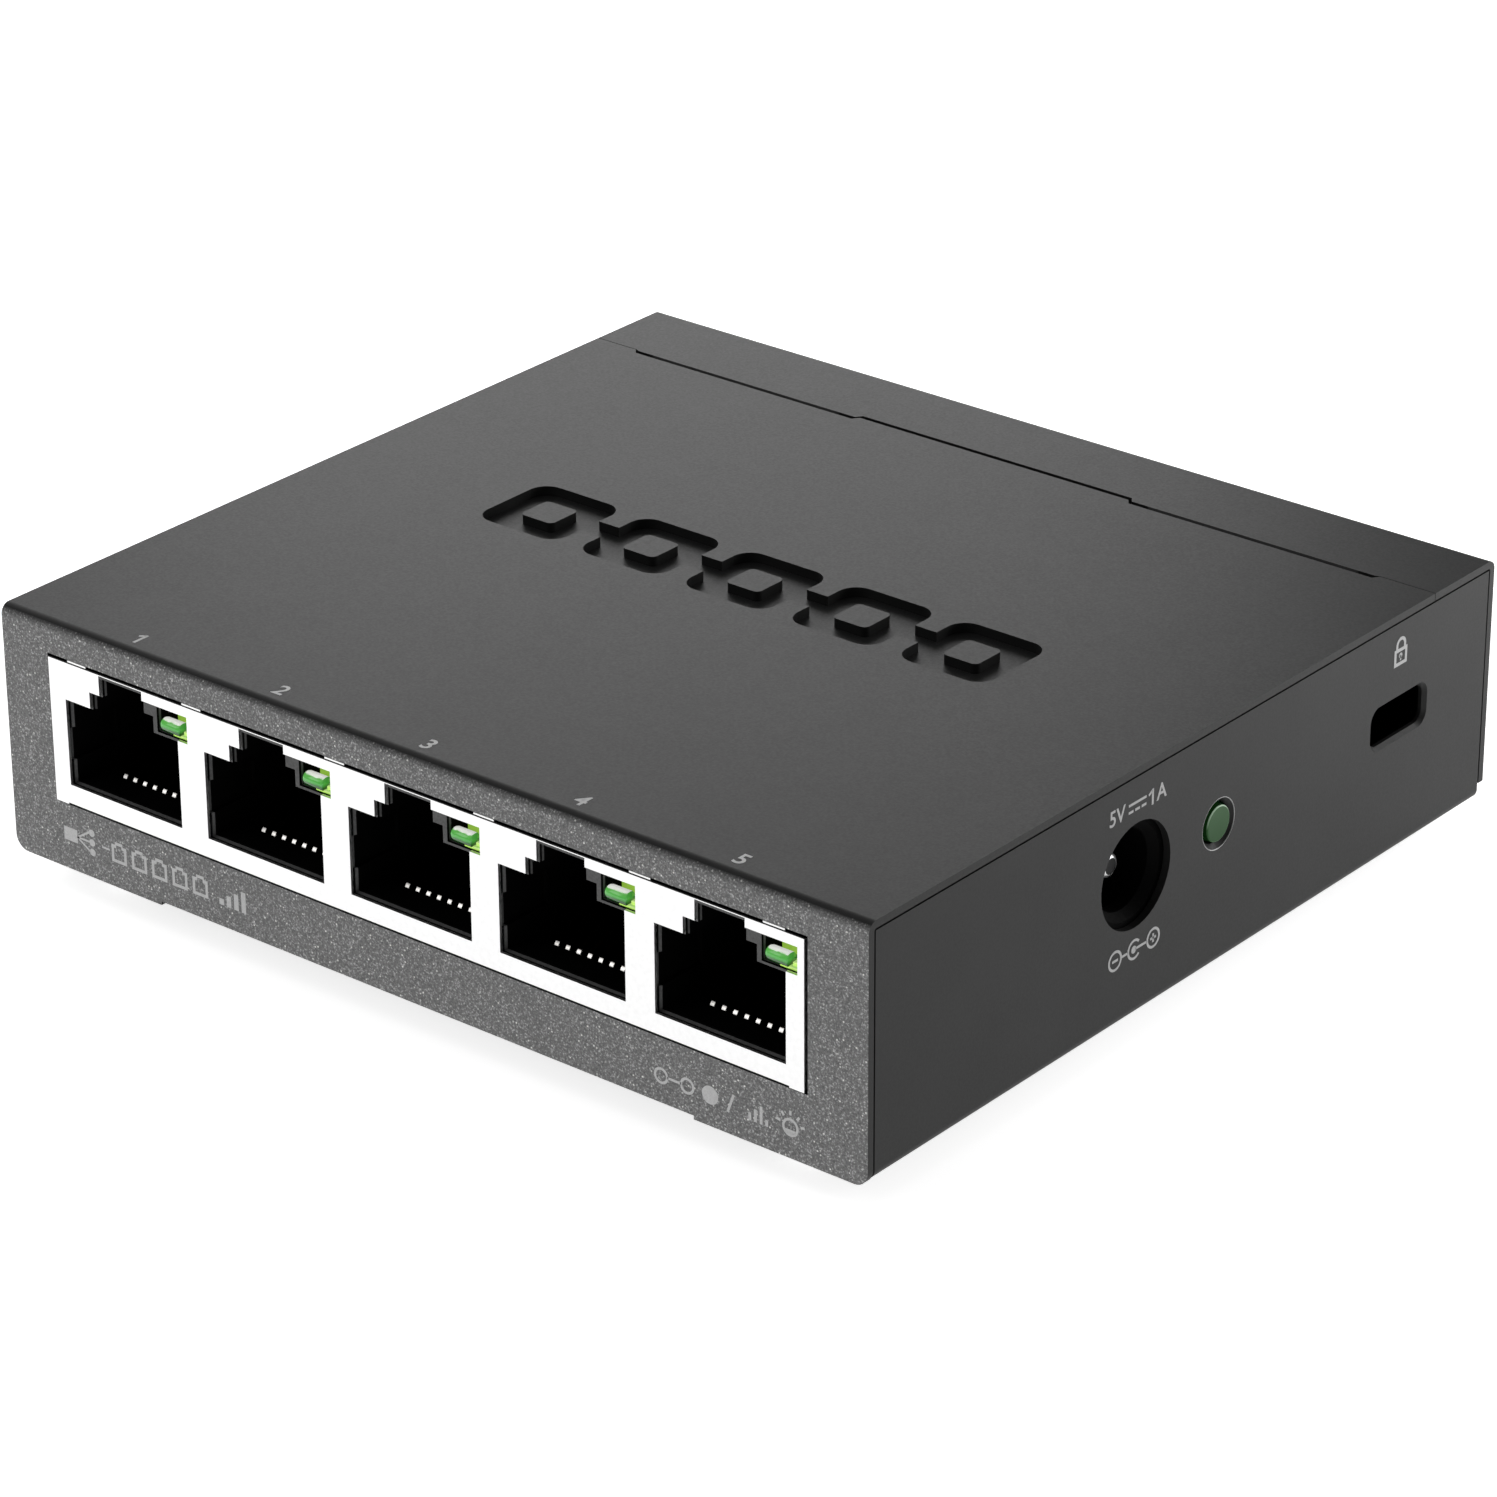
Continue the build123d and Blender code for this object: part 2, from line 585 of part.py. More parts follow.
def circuit_board():
    """Green board with its screw holes and the holes of every soldered pin."""
    z = (BOARD_TOP - BOARD_T, BOARD_TOP)
    board = block(BOARD_X, BOARD_Y, z)
    corners = [(x, y) for x in BOARD_X for y in BOARD_Y]
    board = rounded(board, Axis.Z, corners, 1.0)
    cut = (z[0] - 1, z[1] + 1)
    holes = [post(x, y, cut, SCREW_R + 0.15) for x, y in BOARD_SCREW_SPOTS]
    holes += [post(x, y, cut, PEG_R + 0.05) for x, y in PEG_SPOTS]
    for i in range(PORTS):
        for k in range(CONTACTS):
            holes.append(post(contact_x(i, k), TAIL_ROWS[k % 2], cut, 0.32))
        holes += [post(port_left(i) + x, LED_LEAD_Y, cut, 0.34) for x in LED_LEAD_X]
    for y in (LAMP_Y - 1.27, LAMP_Y + 1.27):
        holes.append(post(74.62, y, cut, 0.38))
    for x in (ROW_X[0] + SHIELD_T / 2, ROW_X[1] - SHIELD_T / 2):
        holes += [block((x - 0.25, x + 0.25), (y - 0.7, y + 0.7), cut) for y in SHIELD_LEG_Y]
    slot_y = (INLET_Y - 1.3, INLET_Y + 1.3)
    holes += [block((66.5, 67.1), slot_y, cut), block((69.35, 69.95), slot_y, cut)]
    return board - holes


def gull_lead(reach, wide):
    """A gull-wing lead in plan order: foot outward along +X, shoulder at x = 0."""
    t = 0.15
    points = [
        (0, 0.8),
        (0.35 * reach, 0.8),
        (0.55 * reach, t),
        (reach, t),
        (reach, 0),
        (0.45 * reach, 0),
        (0.28 * reach, 0.8 - t),
        (0, 0.8 - t),
    ]
    outline = Plane.XZ * make_face(Polyline(*points, close=True))
    return Pos(0, wide / 2, 0) * extrude(outline, wide)


def lead_row(count, pitch, reach, wide):
    """A row of gull-wing leads along Y, pointing along +X."""
    lead = gull_lead(reach, wide)
    return [Pos(0, (k - (count - 1) / 2) * pitch, 0) * lead for k in range(count)]


def package(x, y, size, z, chamfer_len):
    """A moulded chip body with its upper edges bevelled."""
    body = Pos(x, y, BOARD_TOP + (z[0] + z[1]) / 2) * Box(size[0], size[1], z[1] - z[0])
    return chamfer(body.faces().sort_by(Axis.Z)[-1].edges(), chamfer_len)


def switch_chip():
    """Body of the switch controller."""
    return package(CHIP_X, CHIP_Y, (CHIP_SIDE, CHIP_SIDE), (0.1, 1.5), 0.2)


def switch_chip_leads():
    """Leads on all four sides of the controller."""
    leads = []
    for turn in (0, 90, 180, 270):
        side = Pos(CHIP_X, CHIP_Y, BOARD_TOP) * Rot(0, 0, turn) * Pos(CHIP_SIDE / 2, 0, 0)
        leads += [side * lead for lead in lead_row(CHIP_LEADS_PER_SIDE, 0.8, 1.0, 0.3)]
    return Compound(children=leads)


def transformer(i):
    """Isolation transformer module of one port: body and two rows of leads."""
    x = port_left(i) + MOUTH_W / 2
    wide, deep = 10.4, 6.6
    solids = [package(x, TRANSFORMER_Y, (wide, deep), (0.25, 4.6), 0.3)]
    for turn in (90, 270):
        side = Pos(x, TRANSFORMER_Y, BOARD_TOP) * Rot(0, 0, turn) * Pos(deep / 2, 0, 0)
        solids += [side * lead for lead in lead_row(12, 0.8, 1.1, 0.35)]
    return Compound(children=solids)


def small_outline_chip(x, y):
    """An eight-lead chip."""
    solids = [package(x, y, (3.9, 4.9), (0.1, 1.5), 0.15)]
    for turn in (0, 180):
        side = Pos(x, y, BOARD_TOP) * Rot(0, 0, turn) * Pos(3.9 / 2, 0, 0)
        solids += [side * lead for lead in lead_row(4, 1.27, 1.05, 0.4)]
    return solids


def crystal():
    """Metal crystal can lying on the board."""
    x, y = CRYSTAL_SPOT
    can = Pos(x, y, BOARD_TOP + 0.05) * extrude(RectangleRounded(10.6, 4.4, 2.15), 3.6)
    rim = extrude(Pos(x, y, BOARD_TOP + 0.05) * RectangleRounded(11.3, 4.9, 2.4), 0.4)
    return fillet(can.faces().sort_by(Axis.Z)[-1].edges(), 0.5) + rim


def bulk_capacitor(x, y, r, height):
    """Electrolytic can with its beaded base."""
    can = post(x, y, (BOARD_TOP + 0.02, BOARD_TOP + height), r)
    top = can.edges().filter_by(GeomType.CIRCLE).sort_by(Axis.Z)[-1]
    can = fillet(top, 0.5)
    bead = Pos(x, y, BOARD_TOP + 1.6) * Torus(r + 0.12, 0.3)
    return can - bead


def power_inductor(x, y, side, height):
    """Shielded inductor: square block with cropped corners and a round core on top."""
    body = Pos(x, y, BOARD_TOP + 0.02) * extrude(Rectangle(side, side), height - 0.2)
    body = chamfer(body.edges().filter_by(Axis.Z), side * 0.16)
    return body + post(x, y, (BOARD_TOP + height - 0.3, BOARD_TOP + height), side * 0.38)


def input_diode():
    """Protection diode with folded end tabs."""
    x, y = DIODE_SPOT
    body = package(x, y, (4.3, 2.6), (0.25, 2.2), 0.2)
    tab = block((x - 2.6, x + 2.6), (y - 0.75, y + 0.75), (BOARD_TOP + 0.02, BOARD_TOP + 0.25))
    return body + tab


def chip_parts(spots, size, turn_every):
    """Two-terminal chip parts; every turn_every-th one is turned a quarter."""
    long, wide, high = size
    solids = []
    for n, (x, y) in enumerate(spots):
        dx, dy = (wide, long) if n % turn_every == 0 else (long, wide)
        at = Pos(x, y, BOARD_TOP + 0.02 + high / 2)
        solids.append(at * Box(dx, dy, high))
    return Compound(children=solids)


def capacitor_spots():
    """Where the chip capacitors sit: round the controller and behind the transformers."""
    ring = [(CHIP_X + dx, CHIP_Y - 11.0) for dx in (-6.0, -3.0, 0.0, 3.0, 6.0)]
    ring += [(CHIP_X + dx, CHIP_Y + 11.0) for dx in (-6.0, -3.0, 0.0, 3.0, 6.0)]
    rows = [(port_left(i) + MOUTH_W / 2 + dx, 27.2) for i in range(4) for dx in (-3.0, 0.0, 3.0)]
    return ring + rows


def resistor_spots():
    """Where the chip resistors sit: beside the controller and near the regulators."""
    beside = [(CHIP_X - 10.5, CHIP_Y + dy) for dy in (-4.0, -2.0, 0.0, 2.0, 4.0)]
    beside += [(CHIP_X + 10.2, CHIP_Y + dy) for dy in (-4.0, -2.0)]
    return beside + [(x + dx, 61.5) for x, _ in SO8_SPOTS for dx in (-2.0, 0.0, 2.0)]


def write_all():
    """Builds every node and writes it."""
    os.makedirs("parts", exist_ok=True)
    write_node("front_top_cover", front_top_cover())
    write_node("base_tray", base_tray())
    write_node("rubber_feet", Compound(children=[rubber_foot(x, y) for x, y in FOOT_SPOTS]))
    cover_screws = [pan_screw(x, y, 0, 3.4, 1) for x, y in COVER_SCREW_SPOTS]
    write_node("cover_screws", Compound(children=cover_screws))
    board_screws = [pan_screw(x, y, BOARD_TOP, 1.4, -1) for x, y in BOARD_SCREW_SPOTS]
    write_node("board_screws", Compound(children=board_screws))
    write_node("standoffs", Compound(children=[standoff(x, y) for x, y in BOARD_SCREW_SPOTS]))
    write_node("circuit_board", circuit_board())
    write_node("jack_shield", jack_shield())
    write_node("jack_housing", jack_housing())
    write_node("port_led_leads", led_leads())
    wire = contact_wire()
    for i in range(PORTS):
        port = f"port_{i + 1}_"
        write_node(port + "contact_block", contact_block(i))
        write_node(port + "contact_tails", contact_tails(i))
        write_node(port + "contact_springs", contact_springs(i, wire))
        write_node(port + "led", port_led(i))
        write_node(port + "transformer", transformer(i))
    write_node("power_inlet_body", inlet_body())
    write_node("power_inlet_pin", inlet_pin())
    write_node("power_inlet_leaf", inlet_leaf())
    write_node("power_inlet_leaf_terminal", inlet_leaf_terminal())
    write_node("power_led", power_led())
    write_node("power_led_holder", power_led_holder())
    write_node("power_led_leads", power_led_leads())
    write_node("switch_chip", switch_chip())
    write_node("switch_chip_leads", switch_chip_leads())
    regulators = [solid for spot in SO8_SPOTS for solid in small_outline_chip(*spot)]
    write_node("voltage_regulators", Compound(children=regulators))
    write_node("config_memory", Compound(children=small_outline_chip(*MEMORY_SPOT)))
    write_node("crystal", crystal())
    write_node("power_inductors", Compound(children=[power_inductor(*c) for c in INDUCTORS]))
    write_node("bulk_capacitors", Compound(children=[bulk_capacitor(*c) for c in CANS]))
    write_node("input_diode", input_diode())
    write_node("chip_capacitors", chip_parts(capacitor_spots(), (1.6, 0.8, 0.8), 1000))
    write_node("chip_resistors", chip_parts(resistor_spots(), (1.6, 0.8, 0.5), 1000))


write_all()
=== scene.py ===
import json
from math import cos, pi, radians, sin

import bmesh
import bpy
from mathutils import Matrix, Vector


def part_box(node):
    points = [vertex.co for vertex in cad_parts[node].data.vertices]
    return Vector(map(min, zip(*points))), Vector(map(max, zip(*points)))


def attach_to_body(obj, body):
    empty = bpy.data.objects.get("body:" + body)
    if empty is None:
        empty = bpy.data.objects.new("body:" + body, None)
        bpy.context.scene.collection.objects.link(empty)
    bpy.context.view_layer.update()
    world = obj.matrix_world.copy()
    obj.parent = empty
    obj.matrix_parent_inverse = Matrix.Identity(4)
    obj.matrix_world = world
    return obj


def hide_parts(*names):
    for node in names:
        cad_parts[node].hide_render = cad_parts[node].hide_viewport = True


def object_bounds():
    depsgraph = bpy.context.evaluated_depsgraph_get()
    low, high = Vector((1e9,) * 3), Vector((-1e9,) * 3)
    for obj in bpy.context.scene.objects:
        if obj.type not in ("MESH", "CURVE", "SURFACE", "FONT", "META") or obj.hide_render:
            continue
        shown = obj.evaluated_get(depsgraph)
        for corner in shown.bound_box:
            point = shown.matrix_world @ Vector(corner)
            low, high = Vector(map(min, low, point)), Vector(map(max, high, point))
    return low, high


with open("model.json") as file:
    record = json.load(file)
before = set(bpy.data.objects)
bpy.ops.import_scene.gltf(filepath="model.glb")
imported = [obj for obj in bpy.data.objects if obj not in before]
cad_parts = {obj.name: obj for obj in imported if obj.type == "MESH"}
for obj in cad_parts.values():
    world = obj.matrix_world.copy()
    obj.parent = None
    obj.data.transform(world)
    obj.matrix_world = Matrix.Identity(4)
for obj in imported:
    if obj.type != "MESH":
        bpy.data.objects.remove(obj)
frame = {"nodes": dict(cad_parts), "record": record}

CAD_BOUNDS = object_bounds()
MM = 0.001

# ---- places, all read from the frame ---------------------------------------------------

COVER_LOW, COVER_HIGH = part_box("front_top_cover")
_, BASE_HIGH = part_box("base_tray")
FRONT_Y = COVER_LOW.y
RIGHT_X = BASE_HIGH.x
PORTS = 5
# Case coordinates in millimetres: x from the left edge, y back from the front face, z up from
# the lowest metal edge.
CASE_ORIGIN = COVER_LOW
CASE_WIDTH = (RIGHT_X - COVER_LOW.x) / MM
CASE_HEIGHT = (COVER_HIGH.z - COVER_LOW.z) / MM


def case(x, y, z):
    """A point in the row frame, in metres, from case coordinates in millimetres."""
    return CASE_ORIGIN + Vector((x, y, z)) * MM


# ---- small helpers ---------------------------------------------------------------------


def link(obj):
    """Puts a new object in the scene."""
    bpy.context.scene.collection.objects.link(obj)
    return obj


def mesh_object(name, bm, material, smooth=False):
    """Turns a bmesh into a linked object with one material."""
    bmesh.ops.recalc_face_normals(bm, faces=bm.faces)
    mesh = bpy.data.meshes.new(name)
    bm.to_mesh(mesh)
    bm.free()
    mesh.materials.append(material)
    for polygon in mesh.polygons:
        polygon.use_smooth = smooth
    return link(bpy.data.objects.new(name, mesh))


def attach(obj, body="root"):
    """Makes a piece ride on a body."""
    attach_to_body(obj, body)
    return obj


# ---- materials -------------------------------------------------------------------------


def new_material(name):
    """An empty node material: returns it with its tree, shader and object coordinates."""
    material = bpy.data.materials.new(name)
    material.use_nodes = True
    tree = material.node_tree
    shader = tree.nodes["Principled BSDF"]
    coords = tree.nodes.new("ShaderNodeTexCoord")
    return material, tree, shader, coords.outputs["Object"]


def noise(tree, coords, scale, detail=2.0, roughness=0.5):
    """A noise texture's value: scale is in cells per metre."""
    node = tree.nodes.new("ShaderNodeTexNoise")
    node.inputs["Scale"].default_value = scale
    node.inputs["Detail"].default_value = detail
    node.inputs["Roughness"].default_value = roughness
    tree.links.new(coords, node.inputs["Vector"])
    return node.outputs["Fac"]


def ramp(tree, value, stops):
    """A colour ramp over (position, grey or colour) stops."""
    node = tree.nodes.new("ShaderNodeValToRGB")
    elements = node.color_ramp.elements
    while len(elements) < len(stops):
        elements.new(0.5)
    for element, (position, colour) in zip(elements, stops):
        element.position = position
        rgb = colour if isinstance(colour, tuple) else (colour,) * 3
        element.color = (*rgb, 1.0)
    tree.links.new(value, node.inputs["Fac"])
    return node.outputs["Color"]


def maths(tree, operation, a, b):
    """A math node on two values or sockets."""
    node = tree.nodes.new("ShaderNodeMath")
    node.operation = operation
    for socket, value in zip(node.inputs, (a, b)):
        if isinstance(value, (int, float)):
            socket.default_value = value
        else:
            tree.links.new(value, socket)
    return node.outputs[0]


def mix_colour(tree, factor, a, b):
    """A colour mix of two sockets."""
    node = tree.nodes.new("ShaderNodeMix")
    node.data_type = "RGBA"
    tree.links.new(factor, node.inputs["Factor"])
    tree.links.new(a, node.inputs["A"])
    tree.links.new(b, node.inputs["B"])
    return node.outputs["Result"]


def bump(tree, shader, height, strength, distance):
    """Bumps the shader's normal by a height."""
    node = tree.nodes.new("ShaderNodeBump")
    node.inputs["Strength"].default_value = strength
    node.inputs["Distance"].default_value = distance
    tree.links.new(height, node.inputs["Height"])
    tree.links.new(node.outputs["Normal"], shader.inputs["Normal"])


def normal_axes(tree):
    """The surface normal's three parts."""
    geometry = tree.nodes.new("ShaderNodeNewGeometry")
    parts = tree.nodes.new("ShaderNodeSeparateXYZ")
    tree.links.new(geometry.outputs["Normal"], parts.inputs["Vector"])
    return parts.outputs


def place_axes(tree, coords):
    """The surface point's three parts in the row frame."""
    parts = tree.nodes.new("ShaderNodeSeparateXYZ")
    tree.links.new(coords, parts.inputs["Vector"])
    return parts.outputs


def grained(name, dark, light, grain, rough, metallic=0.0, height=0.01):
    """A finish whose colour, roughness and bump vary with one noise.

    dark and light are the colours at its two ends, rough the roughnesses there. The grain and
    the bump's height are in millimetres.
    """
    material, tree, shader, coords = new_material(name)
    value = noise(tree, coords, 1.0 / (grain * MM), 3.0)
    tree.links.new(ramp(tree, value, [(0.3, dark), (0.7, light)]), shader.inputs["Base Color"])
    low, high = rough
    spread = ramp(tree, value, [(0.3, low), (0.7, high)])
    tree.links.new(spread, shader.inputs["Roughness"])
    shader.inputs["Metallic"].default_value = metallic
    bump(tree, shader, value, 0.6, height * MM)
    return material


def case_paint():
    """Dark satin powder coat, with a speckled metallic grey coat on the outside of the front."""
    material, tree, shader, coords = new_material("case_paint")
    plate_back = FRONT_Y + 0.45 * MM
    near_front = maths(tree, "LESS_THAN", place_axes(tree, coords)["Y"], plate_back)
    outward = maths(tree, "MULTIPLY", normal_axes(tree)["Y"], -1.0)
    faces_front = ramp(tree, outward, [(0.62, 0.0), (0.99, 1.0)])
    front = maths(tree, "MULTIPLY", near_front, faces_front)

    fine = noise(tree, coords, 5200.0, 2.0)
    cloud = noise(tree, coords, 140.0, 2.0)
    dark = ramp(tree, cloud, [(0.3, (0.0105, 0.0105, 0.0103)), (0.7, (0.0135, 0.0135, 0.0133))])
    grain = noise(tree, coords, 6500.0, 3.0, 0.6)
    silver = ramp(tree, grain, [(0.30, 0.095), (0.47, 0.160), (0.57, 0.205), (0.68, 0.50)])
    flecks = tree.nodes.new("ShaderNodeTexVoronoi")
    flecks.inputs["Scale"].default_value = 3600.0
    tree.links.new(coords, flecks.inputs["Vector"])
    near = ramp(tree, flecks.outputs["Distance"], [(0.16, 1.0), (0.34, 0.0)])
    pick = tree.nodes.new("ShaderNodeSeparateColor")
    tree.links.new(flecks.outputs["Color"], pick.inputs["Color"])
    chosen = ramp(tree, pick.outputs[0], [(0.80, 0.0), (0.95, 1.0)])
    glint = maths(tree, "MULTIPLY", near, chosen)
    bright = tree.nodes.new("ShaderNodeRGB")
    bright.outputs[0].default_value = (0.85, 0.85, 0.82, 1.0)
    silver = mix_colour(tree, glint, silver, bright.outputs[0])
    tree.links.new(mix_colour(tree, front, dark, silver), shader.inputs["Base Color"])
    coat = ramp(tree, fine, [(0.3, 0.42), (0.7, 0.50)])
    tree.links.new(coat, shader.inputs["Roughness"])
    shader.inputs["Specular IOR Level"].default_value = 0.2
    bump(tree, shader, fine, 0.25, 0.012 * MM)
    return material


def dark_plastic():
    """Black moulded plastic, with a painted highlight: lighter on the edges just behind the front plate.
    """
    material, tree, shader, coords = new_material("dark_plastic")
    depth = place_axes(tree, coords)["Y"]
    # Mask of the painted highlight: a strip just behind the front plate, and faces turned to the front
    # near it.
    strip_front, strip_back, rim_back = (FRONT_Y + y * MM for y in (0.50, 0.72, 0.82))
    past = maths(tree, "GREATER_THAN", depth, strip_front)
    before = maths(tree, "LESS_THAN", depth, strip_back)
    strip = maths(tree, "MULTIPLY", past, before)
    facing = maths(tree, "LESS_THAN", normal_axes(tree)["Y"], -0.8)
    near = maths(tree, "LESS_THAN", depth, rim_back)
    edge = maths(tree, "MAXIMUM", strip, maths(tree, "MULTIPLY", facing, near))
    value = noise(tree, coords, 5000.0, 2.0)
    deep = ramp(tree, value, [(0.3, 0.0012), (0.7, 0.0022)])
    # The lighter grey on these edges is a painted highlight, for light caught by the thin moulded edges.
    painted_highlight = ramp(tree, value, [(0.3, 0.10), (0.7, 0.14)])
    tree.links.new(mix_colour(tree, edge, deep, painted_highlight), shader.inputs["Base Color"])
    tree.links.new(ramp(tree, value, [(0.3, 0.6), (0.7, 0.72)]), shader.inputs["Roughness"])
    shader.inputs["Specular IOR Level"].default_value = 0.03
    bump(tree, shader, value, 0.4, 0.008 * MM)
    return material


def shield_tin():
    """Bright tinned sheet, dark along the top edge that lies in the front plate's shadow."""
    material, tree, shader, coords = new_material("shield_tin")
    value = noise(tree, coords, 2500.0, 3.0)
    tin = ramp(tree, value, [(0.3, 0.90), (0.7, 0.97)])
    shade = ramp(tree, value, [(0.3, 0.006), (0.7, 0.010)])
    height = place_axes(tree, coords)["Z"]
    shade_low, shade_high = case(0, 0, 17.29).z, case(0, 0, 17.42).z
    above = maths(tree, "GREATER_THAN", height, shade_low)
    under = maths(tree, "LESS_THAN", height, shade_high)
    top = maths(tree, "MULTIPLY", above, under)
    tree.links.new(mix_colour(tree, top, tin, shade), shader.inputs["Base Color"])
    tree.links.new(ramp(tree, value, [(0.3, 0.34), (0.7, 0.44)]), shader.inputs["Roughness"])
    shader.inputs["Metallic"].default_value = 1.0
    bump(tree, shader, value, 0.5, 0.004 * MM)
    return material


def inlet_pin():
    """Nickel plated pin whose flat end is painted dark, as painted shade, inside its bright rounded rim.
    """
    material, tree, shader, coords = new_material("inlet_pin")
    value = noise(tree, coords, 3000.0, 3.0)
    bright = ramp(tree, value, [(0.3, 0.60), (0.7, 0.72)])
    # The flat end's near black colour is painted shade.
    painted_shade = ramp(tree, value, [(0.3, 0.012), (0.7, 0.02)])
    end = maths(tree, "GREATER_THAN", normal_axes(tree)["X"], 0.985)
    tree.links.new(mix_colour(tree, end, bright, painted_shade), shader.inputs["Base Color"])
    tree.links.new(ramp(tree, value, [(0.3, 0.25), (0.7, 0.35)]), shader.inputs["Roughness"])
    shader.inputs["Metallic"].default_value = 1.0
    return material


def contact_plating():
    """Plated contact wire: satin at the front bend, with a pale painted highlight and a painted glint
    there, and painted shade further back.
    """
    material, tree, shader, coords = new_material("contact_plating")
    value = noise(tree, coords, 2500.0, 2.0)
    bend_back = FRONT_Y + 3.62 * MM
    bend = maths(tree, "LESS_THAN", place_axes(tree, coords)["Y"], bend_back)
    # Painted light: the pale colour at the bend is a painted highlight, the dark colour further back is
    # painted shade.
    bright = ramp(tree, value, [(0.3, (0.88, 0.85, 0.80)), (0.7, (0.98, 0.95, 0.90))])
    painted_shade = ramp(tree, value, [(0.3, (0.10, 0.08, 0.05)), (0.7, (0.16, 0.13, 0.08))])
    tree.links.new(mix_colour(tree, bend, painted_shade, bright), shader.inputs["Base Color"])
    tree.links.new(ramp(tree, bend, [(0.0, 0.15), (1.0, 0.42)]), shader.inputs["Roughness"])
    # Painted glint: an emitted highlight on the bend's faces that turn to the front.
    outward = maths(tree, "MULTIPLY", normal_axes(tree)["Y"], -1.0)
    glint = ramp(tree, outward, [(0.5, 0.0), (0.9, 0.6)])
    tree.links.new(maths(tree, "MULTIPLY", glint, bend), shader.inputs["Emission Strength"])
    shader.inputs["Emission Color"].default_value = (1.0, 0.98, 0.95, 1.0)
    shader.inputs["Metallic"].default_value = 1.0
    return material


def power_lens():
    """Dark green lens of the side lamp, with painted light: sides painted dark as shade, a rim with a
    painted highlight where it faces up, and a green tinted face painted lighter towards its top.
    """
    material, tree, shader, coords = new_material("power_lens")
    facing = normal_axes(tree)
    cloud = maths(tree, "MULTIPLY", noise(tree, coords, 700.0, 2.0), 0.04)
    out = maths(tree, "ADD", facing["X"], cloud)
    # Painted highlight: the rim's colour grows lighter as it faces up.
    rim = ramp(tree, facing["Z"], [(0.0, (0.02, 0.07, 0.02)), (0.5, (0.45, 0.60, 0.45))])
    # Painted shade: the sides are painted darker.
    side = ramp(tree, out, [(0.3, (0.002, 0.008, 0.002)), (0.6, (0.012, 0.05, 0.012))])
    # Painted shading: the face runs from darker at its foot to lighter at its top.
    foot, high = case(0, 0, 10.4).z, 2.8 * MM
    rise = maths(tree, "SUBTRACT", place_axes(tree, coords)["Z"], foot)
    rise = maths(tree, "MULTIPLY", rise, 1.0 / high)
    face = ramp(tree, rise, [(0.0, (0.006, 0.040, 0.006)), (1.0, (0.030, 0.075, 0.030))])
    is_rim = ramp(tree, facing["X"], [(0.35, 0.0), (0.5, 1.0)])
    is_face = ramp(tree, facing["X"], [(0.93, 0.0), (0.98, 1.0)])
    colour = mix_colour(tree, is_face, mix_colour(tree, is_rim, side, rim), face)
    tree.links.new(colour, shader.inputs["Base Color"])
    shader.inputs["Roughness"].default_value = 0.25
    shader.inputs["Specular IOR Level"].default_value = 0.12
    shader.inputs["Emission Color"].default_value = (0.01, 0.06, 0.01, 1.0)
    shader.inputs["Emission Strength"].default_value = 0.2
    return material


def printed_ink(name, low, high):
    """Light grey screen print, slightly uneven in tone."""
    return grained(name, (low,) * 3, (high,) * 3, 0.12, (0.5, 0.6))


def lamp_plastic(name, painted_light_tints, painted_light_glows, strength):
    """Tinted clear plastic, whose colour and glow run from its lower to its upper faces as painted light:
    painted shade below, painted highlight on top.
    """
    material, tree, shader, coords = new_material(name)
    cloud = maths(tree, "MULTIPLY", noise(tree, coords, 2500.0, 2.0), 0.12)
    half = maths(tree, "MULTIPLY", normal_axes(tree)["Z"], 0.5)
    up = maths(tree, "ADD", maths(tree, "ADD", half, 0.44), cloud)
    # Colour and glow by facing up are painted light: painted shade on the lower faces, painted highlight
    # on the upper faces.
    tree.links.new(ramp(tree, up, painted_light_tints), shader.inputs["Base Color"])
    tree.links.new(ramp(tree, up, painted_light_glows), shader.inputs["Emission Color"])
    shader.inputs["Emission Strength"].default_value = strength
    shader.inputs["Roughness"].default_value = 0.15
    shader.inputs["Coat Weight"].default_value = 0.5
    shader.inputs["Coat Roughness"].default_value = 0.05
    return material


def board_mask():
    """Green solder mask with faint tracks showing through."""
    material, tree, shader, coords = new_material("board_mask")
    tracks = tree.nodes.new("ShaderNodeTexBrick")
    tracks.inputs["Scale"].default_value = 220.0
    tracks.inputs["Mortar Size"].default_value = 0.06
    tracks.inputs["Color1"].default_value = (0.016, 0.10, 0.035, 1)
    tracks.inputs["Color2"].default_value = (0.020, 0.12, 0.042, 1)
    tracks.inputs["Mortar"].default_value = (0.035, 0.19, 0.07, 1)
    tree.links.new(coords, tracks.inputs["Vector"])
    tree.links.new(tracks.outputs["Color"], shader.inputs["Base Color"])
    value = noise(tree, coords, 1500.0, 2.0)
    tree.links.new(ramp(tree, value, [(0.3, 0.30), (0.7, 0.38)]), shader.inputs["Roughness"])
    bump(tree, shader, tracks.outputs["Fac"], 0.4, 0.03 * MM)
    return material


# (share of facing up, colour) along the curve of a port lamp's lens, and of its bright end
# Painted light: each ramp runs from dark green on the lower faces, as painted shade, to lighter on the
# upper faces; the lens's near white top stop is a painted highlight.
LENS_PAINTED_LIGHT_TINTS = [
    (0.20, (0.004, 0.05, 0.004)),
    (0.40, (0.006, 0.09, 0.006)),
    (0.55, (0.05, 0.30, 0.045)),
    (0.87, (0.10, 0.42, 0.08)),
    (0.93, (0.85, 0.95, 0.80)),
]
